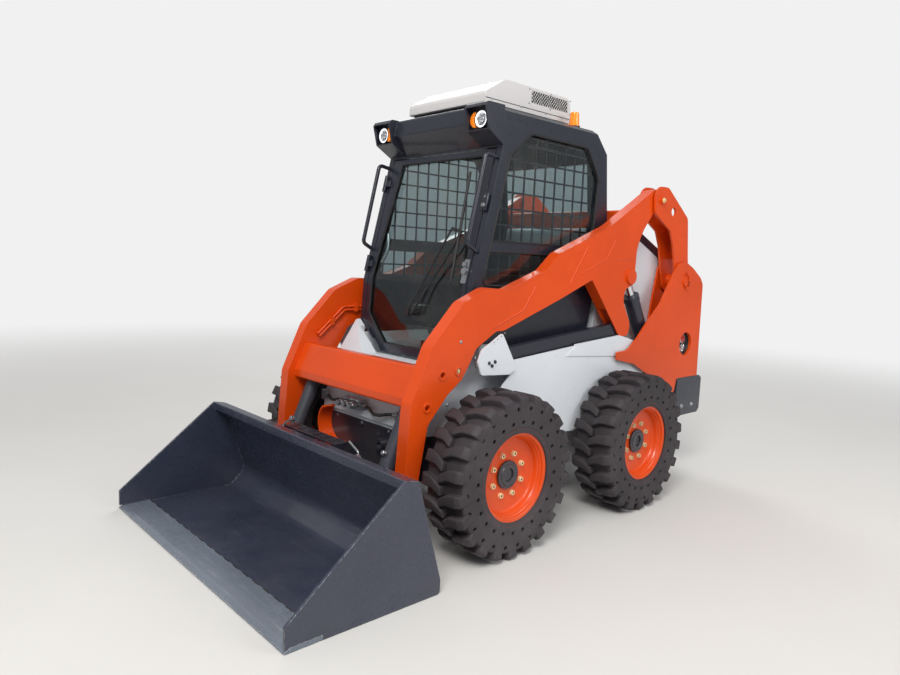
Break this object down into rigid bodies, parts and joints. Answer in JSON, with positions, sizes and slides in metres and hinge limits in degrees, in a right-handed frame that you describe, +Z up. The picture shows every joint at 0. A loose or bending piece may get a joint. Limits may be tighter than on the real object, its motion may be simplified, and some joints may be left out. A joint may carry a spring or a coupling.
{
  "type": "skid steer loader",
  "caption": "Compact skid steer loader with vertical-lift arms, dirt bucket on a quick-attach frame, enclosed cab with opening front door, and chain-coupled wheels.",
  "frame": {"origin": "centre of the footprint rectangle, on the ground", "axes": "+Z up, -Y forwards over the bucket, +X to the machine's left"},
  "size_m": [1.726, 3.292, 2.294],
  "materials": {
    "orange_paint": "gloss",
    "white_paint": "gloss",
    "black_paint": "satin",
    "bucket_paint": "satin",
    "grey_paint": "satin",
    "chrome_rod": "polished",
    "hub_steel": "satin",
    "tyre_rubber": "matte",
    "cab_glass": "clear",
    "roof_plastic": "satin",
    "hose_rubber": "matte",
    "black_plastic": "matte",
    "amber_lens": "gloss",
    "lamp_lens": "clear",
    "red_lens": "gloss",
    "seat_vinyl": "satin"
  },
  "bodies": {
    "frame": {"chassis": "white_paint", "front_guard": "black_paint", "fenders": "white_paint", "link_brackets": "white_paint", "uprights": "orange_paint", "counterweight": "grey_paint", "engine": "grey_paint", "engine_hood": "white_paint", "tail_lamps": "red_lens", "cab_shell": "black_paint", "cab_glass": "cab_glass", "roof_visor": "black_paint", "headlamps": "lamp_lens", "roof_unit": "roof_plastic", "roof_unit_base": "black_plastic", "beacon": "amber_lens", "seat_base": "black_plastic", "seat_cushions": "seat_vinyl", "cab_controls": "black_plastic", "grab_rails": "black_paint", "axle_housings": "black_paint", "hose_guard": "orange_paint", "hydraulic_couplers": "hub_steel", "hose_left": "hose_rubber", "hose_right": "hose_rubber", "window_guards": "black_paint"},
    "door": {"door_frame": "black_paint", "door_glass": "cab_glass", "door_wiper": "black_plastic", "door_latch": "hub_steel"},
    "tailgate": {"tailgate": "white_paint"},
    "control_links": {"control_links": "black_paint"},
    "arms": {"lift_arms": "orange_paint", "arm_tubes": "orange_paint"},
    "rear_links": {"rear_links": "orange_paint"},
    "lift_barrels": {"lift_cylinder_barrels": "black_paint"},
    "lift_rods": {"lift_cylinder_rods": "chrome_rod"},
    "tilt_barrels": {"tilt_cylinder_barrels": "grey_paint"},
    "tilt_rods": {"tilt_cylinder_rods": "chrome_rod"},
    "bucket": {"bucket": "bucket_paint", "cutting_edge": "bucket_paint", "quick_attach": "black_paint", "latch_levers": "black_paint"},
    "wheel_front_left": {"tyre_front_left": "tyre_rubber", "rim_front_left": "orange_paint", "hub_front_left": "black_paint"},
    "wheel_rear_left": {"tyre_rear_left": "tyre_rubber", "rim_rear_left": "orange_paint", "hub_rear_left": "black_paint"},
    "wheel_front_right": {"tyre_front_right": "tyre_rubber", "rim_front_right": "orange_paint", "hub_front_right": "black_paint"},
    "wheel_rear_right": {"tyre_rear_right": "tyre_rubber", "rim_rear_right": "orange_paint", "hub_rear_right": "black_paint"}
  },
  "joints": [
    {"name": "lift", "type": "hinge", "parent": "frame", "child": "control_links", "pos_m": [0, -0.304, 0.895], "axis": [1, 0, 0], "range_deg": [0, 56]},
    {"name": "arm_pivot", "type": "hinge", "parent": "control_links", "child": "arms", "pos_m": [0, 0.731, 1.003], "axis": [1, 0, 0], "range_deg": [-130.53, 0.5]},
    {"name": "rear_link_pivot", "type": "hinge", "parent": "arms", "child": "rear_links", "pos_m": [0, 1.011, 1.77], "axis": [1, 0, 0], "range_deg": [-1, 75.83]},
    {"name": "lift_barrel_pivot", "type": "hinge", "parent": "frame", "child": "lift_barrels", "pos_m": [0, 1.18, 0.606], "axis": [1, 0, 0], "range_deg": [-3.15, 1]},
    {"name": "lift_rod_slide", "type": "slide", "parent": "lift_barrels", "child": "lift_rods", "axis": [0, -0.5145, 0.8575], "range_m": [-0.002, 0.631]},
    {"name": "tilt", "type": "hinge", "parent": "arms", "child": "bucket", "pos_m": [0, -0.874, 0.2], "axis": [1, 0, 0], "range_deg": [-28, 74]},
    {"name": "tilt_barrel_pivot", "type": "hinge", "parent": "arms", "child": "tilt_barrels", "pos_m": [0, -0.709, 0.8], "axis": [1, 0, 0], "range_deg": [-2.6, 1.6]},
    {"name": "tilt_rod_slide", "type": "slide", "parent": "tilt_barrels", "child": "tilt_rods", "axis": [0, -0.3939, -0.9191], "range_m": [-0.0558, 0.1441]},
    {"name": "door_hinge", "type": "hinge", "parent": "frame", "child": "door", "pos_m": [-0.426, -0.35827, 1.55306], "axis": [0, -0.2356, -0.9719], "range_deg": [0, 90]},
    {"name": "tailgate_hinge", "type": "hinge", "parent": "frame", "child": "tailgate", "pos_m": [0.44, 1.594, 0.92], "axis": [0, 0, -1], "range_deg": [0, 90]},
    {"name": "spin_front_left", "type": "hinge", "parent": "frame", "child": "wheel_front_left", "pos_m": [0.713, -0.449, 0.386], "axis": [1, 0, 0], "continuous": true},
    {"name": "spin_rear_left", "type": "hinge", "parent": "frame", "child": "wheel_rear_left", "pos_m": [0.713, 0.626, 0.386], "axis": [1, 0, 0], "continuous": true},
    {"name": "spin_front_right", "type": "hinge", "parent": "frame", "child": "wheel_front_right", "pos_m": [-0.713, -0.449, 0.386], "axis": [1, 0, 0], "continuous": true},
    {"name": "spin_rear_right", "type": "hinge", "parent": "frame", "child": "wheel_rear_right", "pos_m": [-0.713, 0.626, 0.386], "axis": [1, 0, 0], "continuous": true}
  ],
  "couplings": [
    {"joint": "arm_pivot", "follows": "lift", "ratio": -2.313},
    {"joint": "rear_link_pivot", "follows": "lift", "ratio": 1.3362},
    {"joint": "lift_barrel_pivot", "follows": "lift", "ratio": -0.038487},
    {"joint": "lift_rod_slide", "follows": "lift", "m_per_rad": 0.64249},
    {"joint": "tilt_barrel_pivot", "follows": "tilt", "ratio": -0.021564},
    {"joint": "tilt_rod_slide", "follows": "tilt", "m_per_rad": 0.11},
    {"joint": "spin_front_left", "follows": "spin_rear_left", "ratio": 1},
    {"joint": "spin_front_right", "follows": "spin_rear_right", "ratio": 1}
  ]
}
